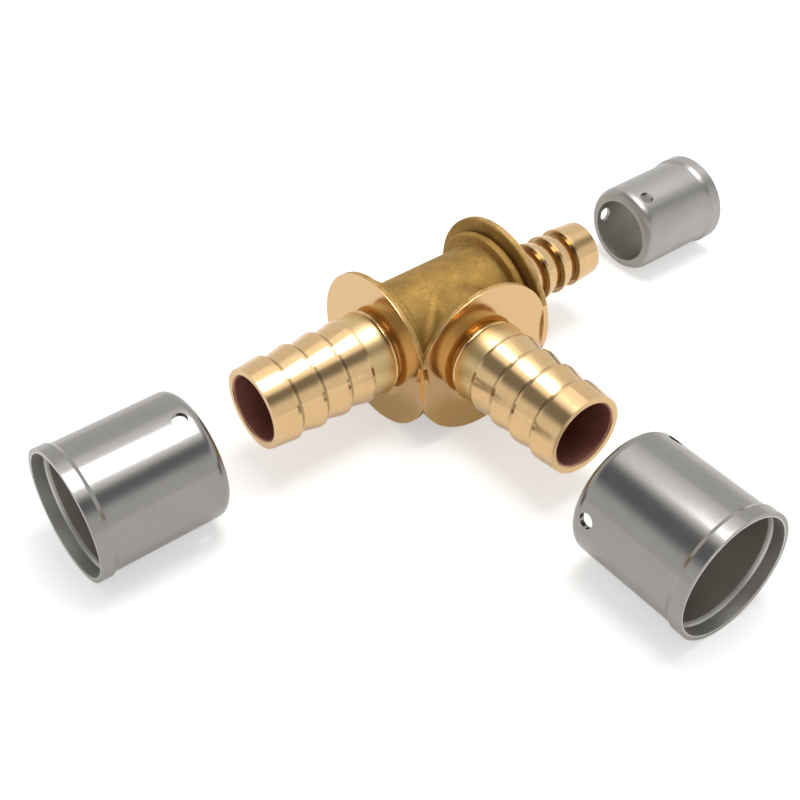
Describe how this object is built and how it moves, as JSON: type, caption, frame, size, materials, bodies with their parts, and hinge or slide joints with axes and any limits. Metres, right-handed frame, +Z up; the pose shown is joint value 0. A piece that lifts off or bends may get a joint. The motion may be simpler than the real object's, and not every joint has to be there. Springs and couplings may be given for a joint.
{
  "type": "crimp fitting",
  "caption": "Brass reducing tee with ribbed barbs behind round collars for flexible water pipe, lying with its steel crimp sleeves drawn off in front of the barbs.",
  "frame": {"origin": "the point where the axes of the run and of the branch cross, level with the axes of all the barbs; the surface that the fitting lies on is one collar radius below it", "axes": "X along the run, from the large run barb at -X to the reduced barb at +X; -Y along the branch, out of its barb; +Z up"},
  "size_m": [0.1643, 0.0988, 0.0322],
  "materials": {
    "brass": "cast body, machined barbs and collar faces",
    "stainless": "satin"
  },
  "bodies": {
    "root": {"tee_body": "brass", "run_sleeve": "stainless", "branch_sleeve": "stainless", "reduced_sleeve": "stainless"}
  },
  "joints": []
}
